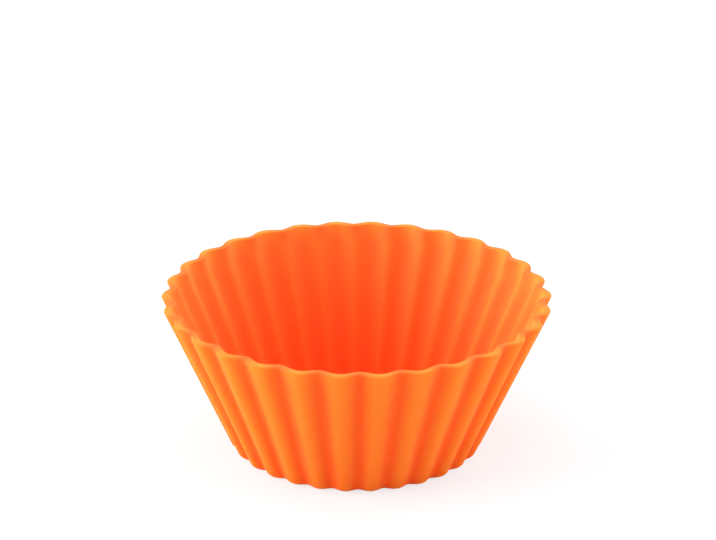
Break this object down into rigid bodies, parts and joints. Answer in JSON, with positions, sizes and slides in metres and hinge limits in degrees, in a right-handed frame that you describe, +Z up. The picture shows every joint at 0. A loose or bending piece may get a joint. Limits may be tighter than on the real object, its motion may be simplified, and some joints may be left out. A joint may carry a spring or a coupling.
{
  "type": "silicone baking cup",
  "caption": "Round reusable baking cup of soft silicone, with a fluted wall that leans outwards, an open top and a flat floor.",
  "frame": {"origin": "middle of the underside, on the surface that the cup stands on", "axes": "+Z up along the cup's own axis, towards the open rim; +X through the crest of a flute"},
  "size_m": [0.0698, 0.0694, 0.0282],
  "materials": {
    "silicone": "satin orange silicone, slightly translucent at the lip"
  },
  "bodies": {
    "root": {"cup": "silicone"}
  },
  "joints": []
}
